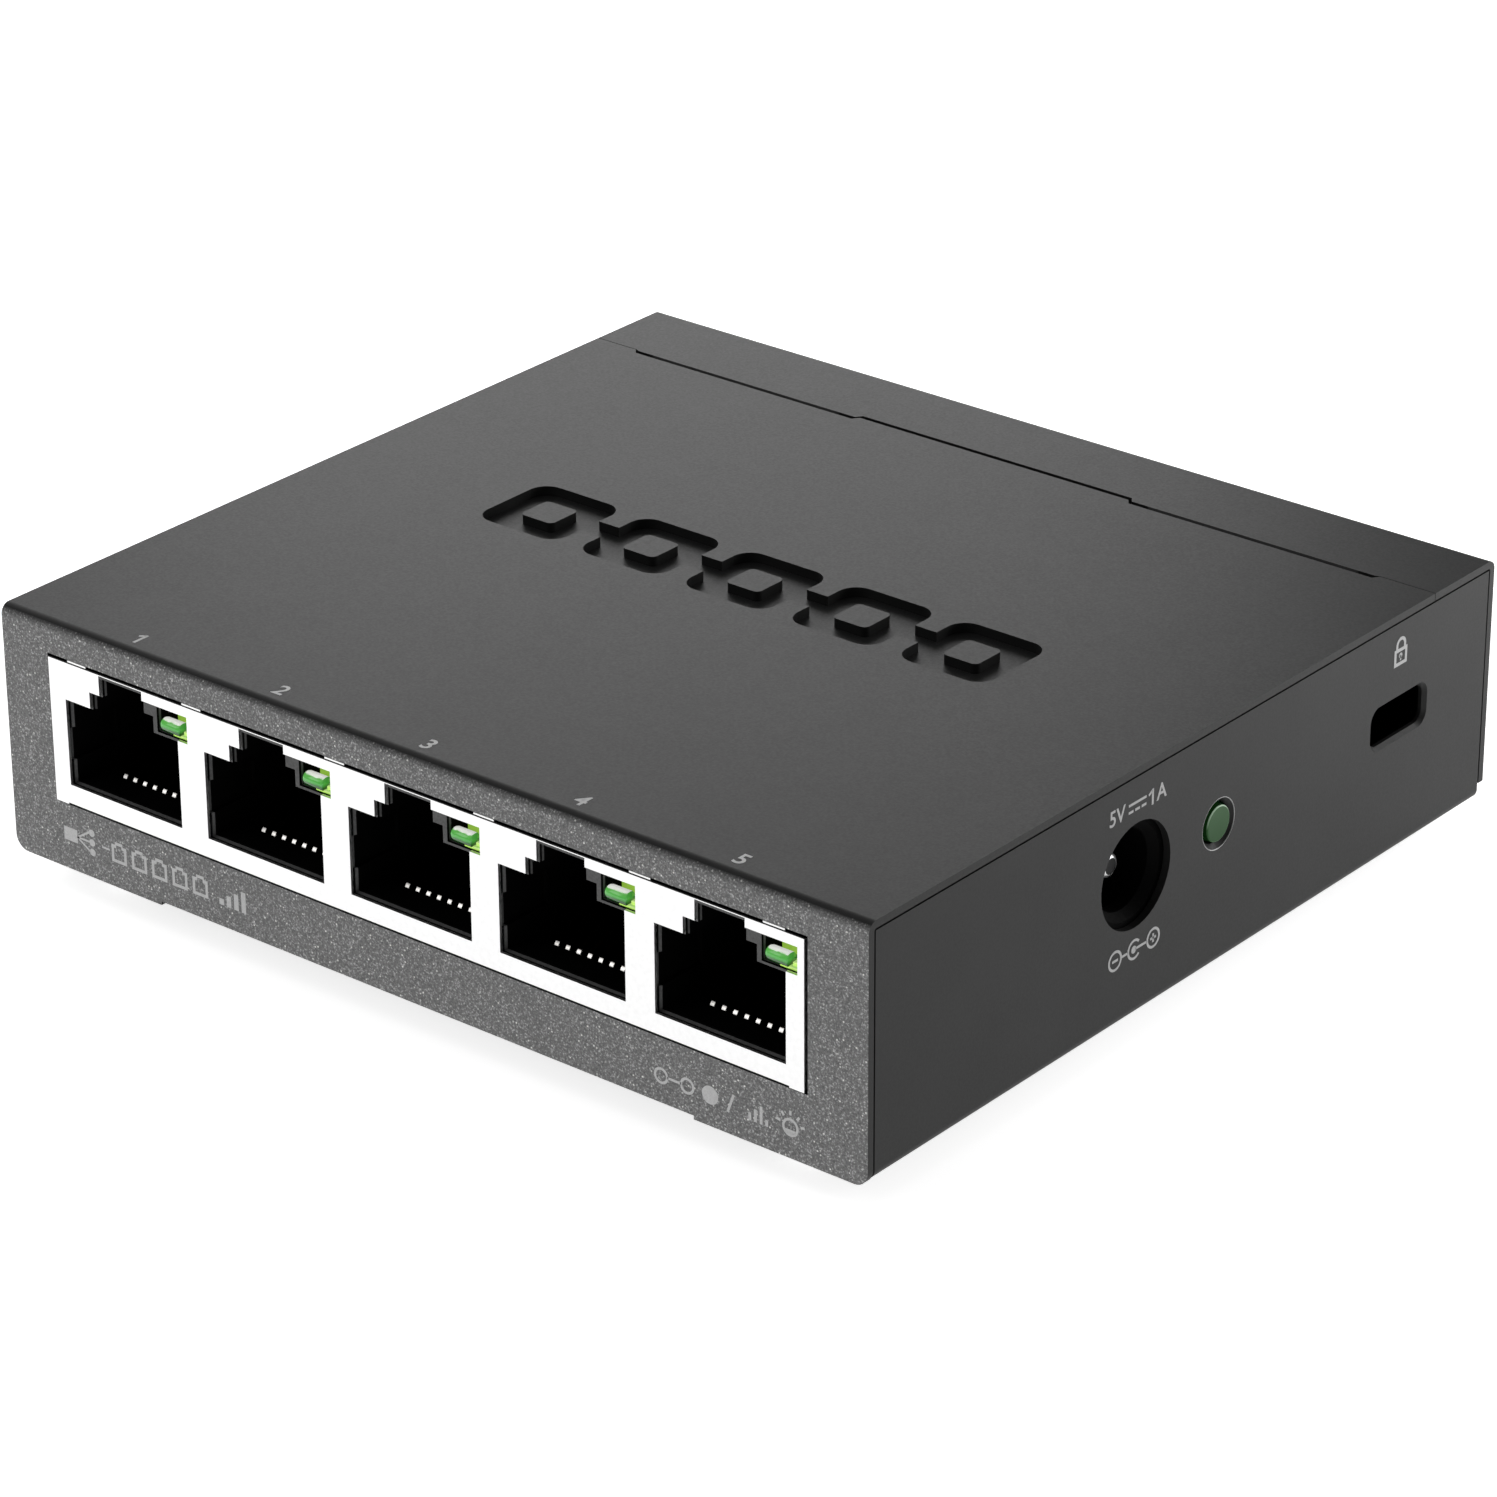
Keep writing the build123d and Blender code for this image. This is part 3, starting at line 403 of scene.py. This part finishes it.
# The glow's near white top stop is an emitted painted highlight.
LENS_PAINTED_LIGHT_GLOWS = [
    (0.36, (0.002, 0.04, 0.002)),
    (0.56, (0.06, 0.34, 0.05)),
    (0.87, (0.10, 0.42, 0.06)),
    (0.94, (1.0, 1.0, 0.95)),
]
END_PAINTED_LIGHT_TINTS = [(0.2, (0.05, 0.25, 0.02)), (0.5, (0.45, 0.75, 0.10)), (0.8, (0.7, 0.9, 0.3))]
END_PAINTED_LIGHT_GLOWS = [(0.3, (0.05, 0.30, 0.02)), (0.5, (0.50, 0.85, 0.10)), (0.8, (0.6, 0.9, 0.3))]


def make_materials():
    """Every finish, by the record's slot names, and the bright end of a port lamp."""
    return {
        "case_paint": case_paint(),
        "rubber": grained("rubber", (0.018,) * 3, (0.03,) * 3, 0.25, (0.75, 0.9), height=0.03),
        "screw_steel": grained("screw_steel", (0.42,) * 3, (0.55,) * 3, 0.3, (0.25, 0.4), 1.0),
        "board_green": board_mask(),
        "shield_tin": shield_tin(),
        "black_plastic": dark_plastic(),
        "lead_tin": grained("lead_tin", (0.60, 0.60, 0.58), (0.75, 0.75, 0.73), 0.2, (0.3, 0.45), 1.0),
        "pin_nickel": inlet_pin(),
        "gold_contact": contact_plating(),
        "power_lens": power_lens(),
        "port_lens": lamp_plastic("port_lens", LENS_PAINTED_LIGHT_TINTS, LENS_PAINTED_LIGHT_GLOWS, 0.55),
        "lens_end": lamp_plastic("lens_end", END_PAINTED_LIGHT_TINTS, END_PAINTED_LIGHT_GLOWS, 0.45),
        "chip_black": grained("chip_black", (0.014,) * 3, (0.022,) * 3, 0.15, (0.5, 0.65)),
        "can_steel": grained("can_steel", (0.6,) * 3, (0.72,) * 3, 0.5, (0.2, 0.35), 1.0),
        "ferrite": grained("ferrite", (0.05, 0.05, 0.055), (0.08, 0.08, 0.085), 0.2, (0.6, 0.75)),
        "can_sleeve": grained("can_sleeve", (0.55,) * 3, (0.68,) * 3, 0.5, (0.25, 0.4), 1.0),
        "chip_ceramic": grained("chip_ceramic", (0.34, 0.24, 0.15), (0.45, 0.33, 0.21), 0.2, (0.4, 0.55)),
        "chip_dark": grained("chip_dark", (0.02,) * 3, (0.035,) * 3, 0.2, (0.3, 0.45)),
    }


def dress_nodes(materials):
    """Gives every carried-over CAD node the finish of its slot."""
    slots = {row["node"]: row["material_slot"] for row in frame["record"]["subparts"]}
    for name, obj in frame["nodes"].items():
        material = materials[slots[name]]
        if not obj.material_slots:
            obj.data.materials.append(material)
        for index in range(len(obj.material_slots)):
            obj.material_slots[index].material = material


# ---- printed marks ---------------------------------------------------------------------

INK = 0.012  # mm, thickness of a print
INK_GAP = 0.001  # mm, from the face to a print's underside
FACES = {
    # face: (origin in case mm, direction of u, of v, outward)
    "front": ((0, 0, 0), (1, 0, 0), (0, 0, 1), (0, -1, 0)),
    "right": ((CASE_WIDTH, 0, 0), (0, 1, 0), (0, 0, 1), (1, 0, 0)),
    "top": ((0, 0, CASE_HEIGHT), (1, 0, 0), (0, 1, 0), (0, 0, 1)),
}


def on_face(face):
    """Matrix from (u, v, out) in millimetres on a face to the row frame."""
    origin, u, v, out = FACES[face]
    columns = [Vector(axis) * MM for axis in (u, v, out)]
    matrix = Matrix.Identity(4)
    for column, vector in enumerate(columns):
        for row in range(3):
            matrix[row][column] = vector[row]
    start = case(*origin)
    for row in range(3):
        matrix[row][3] = start[row]
    return matrix


def disc(u, v, r, steps=28):
    """Outline of a disc."""
    turn = [2 * pi * k / steps for k in range(steps)]
    return [[(u + r * cos(a), v + r * sin(a)) for a in turn]]


def ring(u, v, r, width, start=0.0, sweep=360.0, steps=36):
    """Outlines of a ring or an arc, as quads along it."""
    inner, outer = r - width / 2, r + width / 2
    quads = []
    for k in range(steps):
        a = radians(start + sweep * k / steps)
        b = radians(start + sweep * (k + 1) / steps)
        corners = ((inner, a), (outer, a), (outer, b), (inner, b))
        quads.append([(u + d * cos(t), v + d * sin(t)) for d, t in corners])
    return quads


def stroke(u0, v0, u1, v1, width):
    """Outline of a straight stroke."""
    along = Vector((u1 - u0, v1 - v0)).normalized()
    side = Vector((-along.y, along.x)) * width / 2
    ends = ((u0, v0, 1), (u1, v1, 1), (u1, v1, -1), (u0, v0, -1))
    return [[(u + s * side.x, v + s * side.y) for u, v, s in ends]]


def patch(u0, v0, u1, v1):
    """Outline of a rectangle."""
    return [[(u0, v0), (u1, v0), (u1, v1), (u0, v1)]]


def print_mark(name, face, outlines, ink):
    """A thin printed piece from flat outlines on one face."""
    bm = bmesh.new()
    for outline in outlines:
        bottom = [bm.verts.new((u, v, INK_GAP)) for u, v in outline]
        top = [bm.verts.new((u, v, INK)) for u, v in outline]
        bm.faces.new(top)
        bm.faces.new(bottom[::-1])
        for k in range(len(outline)):
            j = (k + 1) % len(outline)
            bm.faces.new((bottom[k], bottom[j], top[j], top[k]))
    bm.transform(on_face(face))
    return attach(mesh_object(name, bm, ink))


def print_text(name, text, face, u, v, size, ink, squeeze=1.0, bold=0.012):
    """Generic numerals or units, centred on (u, v), as a thin mesh."""
    curve = bpy.data.curves.new(name, "FONT")
    curve.body = text
    curve.size = size
    curve.align_x = "CENTER"
    curve.align_y = "CENTER"
    curve.offset = bold * size
    curve.extrude = INK / 2
    holder = bpy.data.objects.new(name + "_curve", curve)
    link(holder)
    bpy.context.view_layer.update()
    depsgraph = bpy.context.evaluated_depsgraph_get()
    mesh = bpy.data.meshes.new_from_object(holder.evaluated_get(depsgraph))
    mesh.name = name
    bpy.data.objects.remove(holder)
    mesh.transform(Matrix.Diagonal((squeeze, 1, 1, 1)))
    mesh.transform(on_face(face) @ Matrix.Translation((u, v, INK / 2 + INK_GAP)))
    mesh.materials.clear()
    mesh.materials.append(ink)
    return attach(link(bpy.data.objects.new(name, mesh)))


def figure_one(u, v, high, width):
    """Outline of a figure 1 with a short flag, centred on (u, v)."""
    top, bottom = v + high / 2, v - high / 2
    stem = patch(u - width / 2 + 0.1, bottom, u + width / 2 + 0.1, top)
    return stem + stroke(u + 0.05, top - width * 0.55, u - 0.38, top - high * 0.3, width * 0.9)


def port_numbers(ink):
    """Numerals 1 to 5 along the top's front edge, over the latch notches."""
    row, size = 2.05, 2.05
    for i in range(PORTS):
        middle = port_left(i) + LATCH_MIDDLE
        if i == 0:
            print_mark("number_1", "top", figure_one(middle, row, 1.5, 0.24), ink)
        else:
            print_text(f"number_{i + 1}", str(i + 1), "top", middle, row, size, ink, bold=0.016)


def rating_marks(ink):
    """Generic inlet rating: volts, direct-current sign and amperes."""
    row, size = 17.2, 1.75
    print_text("rating_volts", "5V", "right", 27.98, row, size, ink, squeeze=0.98)
    print_mark("rating_one", "right", figure_one(32.12, row, 1.25, 0.22), ink)
    print_text("rating_amps", "A", "right", 33.3, row, size, ink, squeeze=0.98)
    left, wide, dash, line = 29.35, 2.1, 0.56, 0.2
    over, under = row + 0.22, row - 0.34
    sign = patch(left, over, left + wide, over + line)
    for k in range(3):
        start = left + k * (wide - dash) / 2
        sign += patch(start, under, start + dash, under + line)
    print_mark("rating_sign", "right", sign, ink)


def polarity_sign(ink):
    """The inlet's polarity: a minus, the barrel round the pin, and a plus, joined by lines."""
    v, r, line, arm = 5.8, 0.72, 0.2, 0.35
    minus, middle, plus = 28.15, 30.45, 32.75
    sign = ring(minus, v, r, line) + stroke(minus - arm, v, minus + arm, v, line)
    sign += stroke(minus + r + 0.08, v, middle - r - 0.03, v, line)
    sign += ring(middle, v, r, line, 40, 280) + disc(middle - 0.05, v, 0.3)
    sign += stroke(middle + 0.15, v, plus - r - 0.03, v, line)
    sign += ring(plus, v, r, line) + stroke(plus - arm, v, plus + arm, v, line)
    sign += stroke(plus, v - arm, plus, v + arm, line)
    print_mark("polarity_sign", "right", sign, ink)


def padlock_mark(ink):
    """Plain padlock over the lock slot."""
    u, v, wide, high, wall = 63.65, 15.95, 1.7, 1.4, 0.28
    left, right, top = u - wide / 2, u + wide / 2, v + high
    body = patch(left, v, right, v + wall)
    body += patch(left, top - wall, right, top)
    body += patch(left, v + wall, left + wall, top - wall)
    body += patch(right - wall, v + wall, right, top - wall)
    body += disc(u, v + 0.78, 0.22) + stroke(u, v + 0.38, u, v + 0.8, 0.16)
    bow, thick, leg = 0.52, 0.26, 0.25
    shackle = ring(u, top + leg, bow, thick, 0, 180, 20)
    for middle in (u - bow, u + bow):
        shackle += patch(middle - thick / 2, top, middle + thick / 2, top + leg)
    print_mark("padlock_mark", "right", body + shackle, ink)


def shining_lamp(u, v, line):
    """Outlines of a lamp sign: a ring, its lower half filled, with rays over it."""
    shapes = ring(u, v - 0.02, 0.62, line)
    level, wide, deep = v - 0.2, 0.5, 0.36
    turn = [pi - pi * k / 10 for k in range(11)]
    shapes.append([(u + wide * cos(a), level - deep * sin(a)) for a in turn])
    near, far = 0.92, 1.28
    for angle in (15, 52, 90, 128, 165):
        a = radians(angle)
        start, end = ((u + d * cos(a), v + d * sin(a)) for d in (near, far))
        shapes += stroke(*start, *end, line)
    return shapes


def status_marks(ink):
    """Lamp key on the front: a link sign, a dot, a slash, bars and a shining lamp."""
    v, line = 2.45, 0.2
    marks = disc(68.2, v, 0.72)
    marks += stroke(69.75, v - 0.75, 70.3, v + 0.75, line)
    marks += shining_lamp(75.3, v, line)
    print_mark("status_marks", "front", marks, ink)
    one, two, r = 63.8, 66.15, 0.55
    key = ring(one, v, r, line) + stroke(one + r, v, two - r, v, line) + ring(two, v, r, line)
    pitch, wide = 0.5, 0.25
    for k, top in enumerate((-0.1, 0.3, 0.7, -0.2)):
        left = 71.6 + pitch * k
        key += patch(left, v - 0.7, left + wide, v + top)
    print_mark("status_key", "front", key, ink)


def socket_sign(left, v):
    """Outlines of a socket's stepped mouth: its floor, walls, shoulders and top."""
    wide, high, wall, shoulder, neck = 1.55, 1.7, 0.25, 0.5, 0.38
    right, low, top = left + wide, v - high / 2, v + high / 2
    shapes = patch(left, low, right, low + wall)
    shapes += patch(left, low + wall, left + wall, top - 2 * wall)
    shapes += patch(right - wall, low + wall, right, top - 2 * wall)
    shapes += patch(left, top - 2 * wall, left + shoulder, top - wall)
    shapes += patch(right - shoulder, top - 2 * wall, right, top - wall)
    shapes += patch(left + neck, top - wall, right - neck, top)
    return shapes


def network_mark(ink):
    """Generic pictogram in the front's lower left: a star of boxes, a row of sockets and bars."""
    v = 2.95
    box_left, box_right, dots = 5.3, 6.7, 8.25
    marks = patch(box_left, v - 0.55, box_right, v + 0.55)
    for rise in (-0.8, 0.0, 0.8):
        marks += stroke(box_right, v, dots - 0.25, v + rise, 0.16) + disc(dots, v + rise, 0.3, 16)
    marks += patch(9.3, v - 0.08, 10.1, v + 0.08)
    first, pitch = 10.3, 2.1
    for k in range(PORTS):
        marks += socket_sign(first + pitch * k, v)
    print_mark("network_mark", "front", marks, ink)
    bars = []
    first, pitch, wide, step = 21.4, 0.75, 0.45, 0.4
    for k in range(4):
        left = first + pitch * k
        bars += patch(left, v - 0.85, left + wide, v - 0.35 + step * k)
    print_mark("signal_bars", "front", bars, ink)


# ---- ports -----------------------------------------------------------------------------


# In millimetres, from a mouth's left edge: its lamp's left side and its latch notch's middle.
LAMP_LEFT, LATCH_MIDDLE = 9.45, 6.1
# (x, share of the radius) along a port lamp's lens
LENS_PROFILE = [(0.03, 0.45), (0.08, 0.7), (0.2, 0.9), (0.38, 1.0), (2.0, 1.0), (2.1, 0.9)]
# Insets in millimetres of each slab's low and high corners from a port lamp's box.
LENS_END_SLABS = [
    ((2.45, -0.15, 0.25), (0.03, 2.9, 0.52)),  # the bright end, right of the lens
    ((1.3, -0.12, -0.1), (0.0, 2.2, 1.0)),  # the shelf under the lens's right half
    ((0.1, 1.6, 0.03), (0.1, 0, 0.35)),  # the foot, behind the lens
]


def port_left(i):
    """x of the left edge of mouth i, in case millimetres, from its lamp's box."""
    low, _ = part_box(f"port_{i + 1}_led")
    return (low.x - CASE_ORIGIN.x) / MM - LAMP_LEFT


def turned(bm, start, profile, steps=28):
    """Adds a solid of revolution about X: profile is (x, radius) in millimetres from start."""
    rings = []
    for x, r in profile:
        turn = [2 * pi * k / steps for k in range(steps)]
        rings.append([bm.verts.new(start + Vector((x, r * cos(a), r * sin(a))) * MM) for a in turn])
    for one, two in zip(rings, rings[1:]):
        for k in range(steps):
            j = (k + 1) % steps
            bm.faces.new((one[k], one[j], two[j], two[k]))
    bm.faces.new(rings[0])
    bm.faces.new(rings[-1])


def slab(bm, low, high):
    """Adds a box between two points in the row frame."""
    for vert in bmesh.ops.create_cube(bm, size=1.0)["verts"]:
        vert.co = Vector(((low[k] + high[k]) / 2 + vert.co[k] * (high[k] - low[k]) for k in range(3)))


def port_lamp(i, materials):
    """A port's lamp: a lying rounded lens, its foot behind it and a bright end on its right."""
    name = f"port_{i + 1}_led"
    low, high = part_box(name)
    r = (high.z - low.z) / 2 / MM - 0.01
    recess, sag = r - 0.32, 0.09
    start = Vector((low.x, low.y + recess * MM, (low.z + high.z) / 2 - sag * MM))
    bm = bmesh.new()
    turned(bm, start, [(x, share * r) for x, share in LENS_PROFILE])
    lens = attach(mesh_object(f"port_{i + 1}_lens", bm, materials["port_lens"], True))
    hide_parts(name)
    bm = bmesh.new()
    for low_inset, high_inset in LENS_END_SLABS:
        slab(bm, low + Vector(low_inset) * MM, high - Vector(high_inset) * MM)
    end = mesh_object(f"port_{i + 1}_lens_end", bm, materials["lens_end"])
    bevel = end.modifiers.new("round", "BEVEL")
    bevel.width = 0.08 * MM
    bevel.segments = 3
    attach(end)


# ---- side lamp -------------------------------------------------------------------------


def lamp_edge():
    """Light bead round the side lamp's hole, a painted highlight on the hole's rounded edge."""
    low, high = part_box("power_led")
    spot = (low + high) / 2
    round_lamp, bead, sunk = 2.01 * MM, 0.05 * MM, 0.06 * MM
    steps, corners = 64, 10
    bm = bmesh.new()
    rings = []
    for k in range(steps):
        a = 2 * pi * k / steps
        loop = []
        for n in range(corners):
            t = 2 * pi * n / corners
            x, r = RIGHT_X - sunk + bead * sin(t), round_lamp + bead * cos(t)
            loop.append(bm.verts.new((x, spot.y + r * cos(a), spot.z + r * sin(a))))
        rings.append(loop)
    for k in range(steps):
        one, two = rings[k], rings[(k + 1) % steps]
        for n in range(corners):
            m = (n + 1) % corners
            bm.faces.new((one[n], one[m], two[m], two[n]))
    # The bead's light grey is a painted highlight.
    edge = grained("painted_highlight_bead", (0.20,) * 3, (0.30,) * 3, 0.1, (0.3, 0.4), 0.6)
    attach(mesh_object("lamp_hole_edge", bm, edge, True))


# ---- studio ----------------------------------------------------------------------------

# The photograph's viewing direction in degrees, and the point of the case that it is taken from.
AZIMUTH, ELEVATION, ROLL = 39.44, 25.84, -0.32
AIM = case(41.0, 41.0, 11.48)
DISTANCE = 433.8 * MM
PAN, TILT = -2.237 * MM, -5.648 * MM  # how far the camera is moved sideways and up from there
LENS, SENSOR = 137.66, 36.0  # millimetres of the camera's lens and sensor

WORLD_LIGHT, FLOOR_GLOW = 0.15, 0.78
FLOOR_RADIUS = 4.0
# name, place and target in metres, side in metres, watts
SOFTBOXES = [
    ("back_left_box", (-0.14, 0.165, 0.10), (-0.01, 0.01, 0.01), 0.14, 0.15),
    ("left_box", (-0.30, 0.08, 0.14), (0, 0, 0.01), 0.25, 0.3),
    ("overhead_box", (-0.1, -0.1, 0.8), (0, 0, 0), 0.8, 1.0),
    ("back_right_box", (0.13, 0.14, 0.05), (0.04, 0.01, 0.01), 0.10, 0.18),
    ("front_left_box", (-0.4, -0.6, 0.4), (0, -0.03, 0.01), 0.4, 0.8),
]


def make_camera():
    """The camera, at the photograph's angle."""
    az, el, roll = radians(AZIMUTH), radians(ELEVATION), radians(ROLL)
    back = Vector((sin(az) * cos(el), -cos(az) * cos(el), sin(el)))
    level = Vector((cos(az), sin(az), 0))
    upright = back.cross(level)
    right = cos(roll) * level + sin(roll) * upright
    up = -sin(roll) * level + cos(roll) * upright
    data = bpy.data.cameras.new("camera")
    data.lens, data.sensor_width = LENS, SENSOR
    data.clip_start, data.clip_end = 0.01, 50.0
    camera = link(bpy.data.objects.new("camera", data))
    place = AIM + PAN * right + TILT * up + DISTANCE * back
    turn = Matrix((right, up, back)).transposed().to_4x4()
    camera.matrix_world = Matrix.Translation(place) @ turn
    bpy.context.scene.camera = camera


def softbox(name, place, target, size, power):
    """A square area light that points at a target."""
    data = bpy.data.lights.new(name, "AREA")
    data.shape = "SQUARE"
    data.size = size
    data.energy = power
    lamp = link(bpy.data.objects.new(name, data))
    lamp.location = place
    lamp.rotation_euler = (Vector(target) - Vector(place)).to_track_quat("-Z", "Y").to_euler()


def make_studio():
    """Pale floor, even surroundings and soft boxes."""
    world = bpy.data.worlds.new("studio")
    bpy.context.scene.world = world
    world.use_nodes = True
    background = world.node_tree.nodes["Background"]
    background.inputs["Color"].default_value = (1.0, 1.0, 1.0, 1.0)
    background.inputs["Strength"].default_value = WORLD_LIGHT
    bm = bmesh.new()
    bmesh.ops.create_circle(bm, cap_ends=True, segments=96, radius=FLOOR_RADIUS)
    floor_paint = grained("floor_paint", (0.88,) * 3, (0.90,) * 3, 30.0, (0.8, 0.9), height=0.0)
    floor = mesh_object("floor", bm, floor_paint)
    floor.location.z = CAD_BOUNDS[0][2]
    glow = floor_paint.node_tree.nodes["Principled BSDF"].inputs
    glow["Emission Color"].default_value = (1.0, 1.0, 1.0, 1.0)
    glow["Emission Strength"].default_value = FLOOR_GLOW
    for box in SOFTBOXES:
        softbox(*box)
    bpy.context.scene.view_settings.view_transform = "Standard"


def main():
    """Dresses the CAD nodes, adds the pieces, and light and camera."""
    materials = make_materials()
    dress_nodes(materials)
    # One light grey print ink in three copies of painted light: lightest on the top, darker on the front,
    # darkest on the side.
    port_numbers(printed_ink("ink_top", 0.55, 0.68))
    side_ink = printed_ink("ink_side", 0.30, 0.38)
    rating_marks(side_ink)
    polarity_sign(side_ink)
    padlock_mark(side_ink)
    front_ink = printed_ink("ink_front", 0.46, 0.58)
    status_marks(front_ink)
    network_mark(front_ink)
    lamp_edge()
    for i in range(PORTS):
        port_lamp(i, materials)
    make_studio()
    make_camera()


main()
